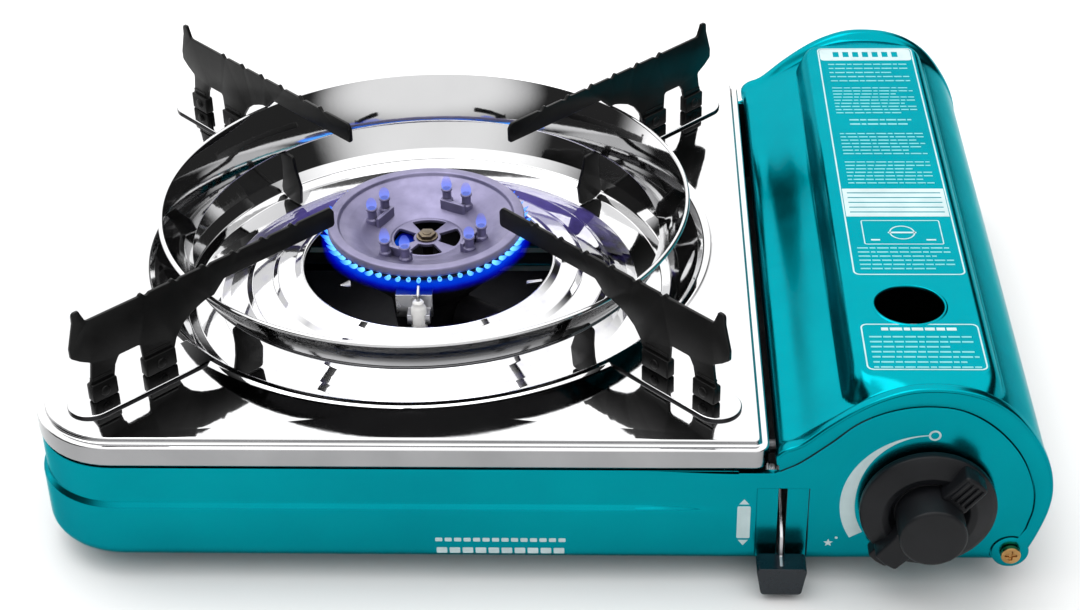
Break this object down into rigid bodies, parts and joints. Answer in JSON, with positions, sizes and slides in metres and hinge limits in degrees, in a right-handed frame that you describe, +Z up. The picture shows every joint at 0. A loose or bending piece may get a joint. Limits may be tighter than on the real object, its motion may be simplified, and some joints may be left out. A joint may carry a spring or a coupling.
{
  "type": "portable gas stove",
  "caption": "Flat table-top butane cooker: one burner under a lift-off trivet, cartridge bay with a hinged lid, control knob and lock lever.",
  "frame": {"origin": "on the table, under the middle of the overall width and depth", "axes": "+X to the right (the cartridge side), +Y to the rear, +Z up"},
  "size_m": [0.3421, 0.2792, 0.095],
  "materials": {
    "teal_paint": "gloss metallic",
    "mirror_steel": "mirror polished stainless",
    "black_enamel": "satin enamel",
    "burner_alloy": "satin",
    "cast_alloy": "cast",
    "zinc_steel": "zinc plated",
    "brass": "turned",
    "rubber": "moulded",
    "charcoal_plastic": "fine moulded grain",
    "lever_plastic": "moulded",
    "ceramic": "glazed ceramic"
  },
  "bodies": {
    "stove_body": {"lower_case": "teal_paint", "top_plate": "mirror_steel", "heat_shield": "zinc_steel", "foot_screws": "zinc_steel", "pivot_nuts": "zinc_steel", "lid_pivot_front": "brass", "lid_pivot_rear": "brass", "burner_bowl": "cast_alloy", "burner_port_ring": "cast_alloy", "burner_cap": "burner_alloy", "cap_bolt": "zinc_steel", "mixing_tube": "zinc_steel", "injector": "brass", "burner_bracket": "zinc_steel", "electrode_bracket": "zinc_steel", "electrode_ceramic": "ceramic", "electrode_wire": "zinc_steel", "regulator_body": "cast_alloy", "regulator_cover": "zinc_steel", "valve_collar": "zinc_steel", "collar_seal": "rubber", "gas_pipe": "zinc_steel", "pipe_nut": "brass", "saddle_front": "zinc_steel", "saddle_rear": "zinc_steel", "cartridge_guide": "zinc_steel", "piezo_igniter": "charcoal_plastic", "igniter_bracket": "zinc_steel", "lever_pivot": "zinc_steel", "lever_bracket": "zinc_steel", "foot_front_left": "rubber", "foot_front_right": "rubber", "foot_rear_left": "rubber", "foot_rear_right": "rubber", "nozzle_pair_1": "burner_alloy", "nozzle_pair_2": "burner_alloy", "nozzle_pair_3": "burner_alloy", "nozzle_pair_4": "burner_alloy"},
    "lid": {"lid": "teal_paint"},
    "knob": {"control_knob": "charcoal_plastic", "knob_shaft": "zinc_steel"},
    "lever": {"lever_blade": "zinc_steel", "lever_handle": "lever_plastic", "lever_cam_pin": "zinc_steel"},
    "carriage": {"carriage_bar": "zinc_steel", "push_plate": "zinc_steel"},
    "trivet": {"trivet_ring": "mirror_steel", "arm_front_left": "black_enamel", "arm_front_right": "black_enamel", "arm_rear_left": "black_enamel", "arm_rear_right": "black_enamel", "post_front_left": "black_enamel", "post_front_right": "black_enamel", "post_rear_left": "black_enamel", "post_rear_right": "black_enamel"}
  },
  "joints": [
    {"name": "lid_hinge", "type": "hinge", "parent": "stove_body", "child": "lid", "pos_m": [0.1594, 0.00838, 0.0138], "axis": [0, 1, 0], "range_deg": [0, 80]},
    {"name": "knob_turn", "type": "hinge", "parent": "stove_body", "child": "knob", "pos_m": [0.1302, -0.12062, 0.0346], "axis": [0, 1, 0], "range_deg": [0, 140]},
    {"name": "lever_turn", "type": "hinge", "parent": "stove_body", "child": "lever", "pos_m": [0.08285, -0.09563, 0.027], "axis": [-1, 0, 0], "range_deg": [0, 38]},
    {"name": "carriage_slide", "type": "slide", "parent": "stove_body", "child": "carriage", "axis": [0, 1, 0], "range_m": [0, 0.0058]},
    {"name": "trivet_lift", "type": "slide", "parent": "stove_body", "child": "trivet", "axis": [0, 0, 1], "range_m": [0, 0.09]}
  ],
  "couplings": [
    {"joint": "carriage_slide", "follows": "lever_turn", "m_per_rad": 0.0086}
  ]
}
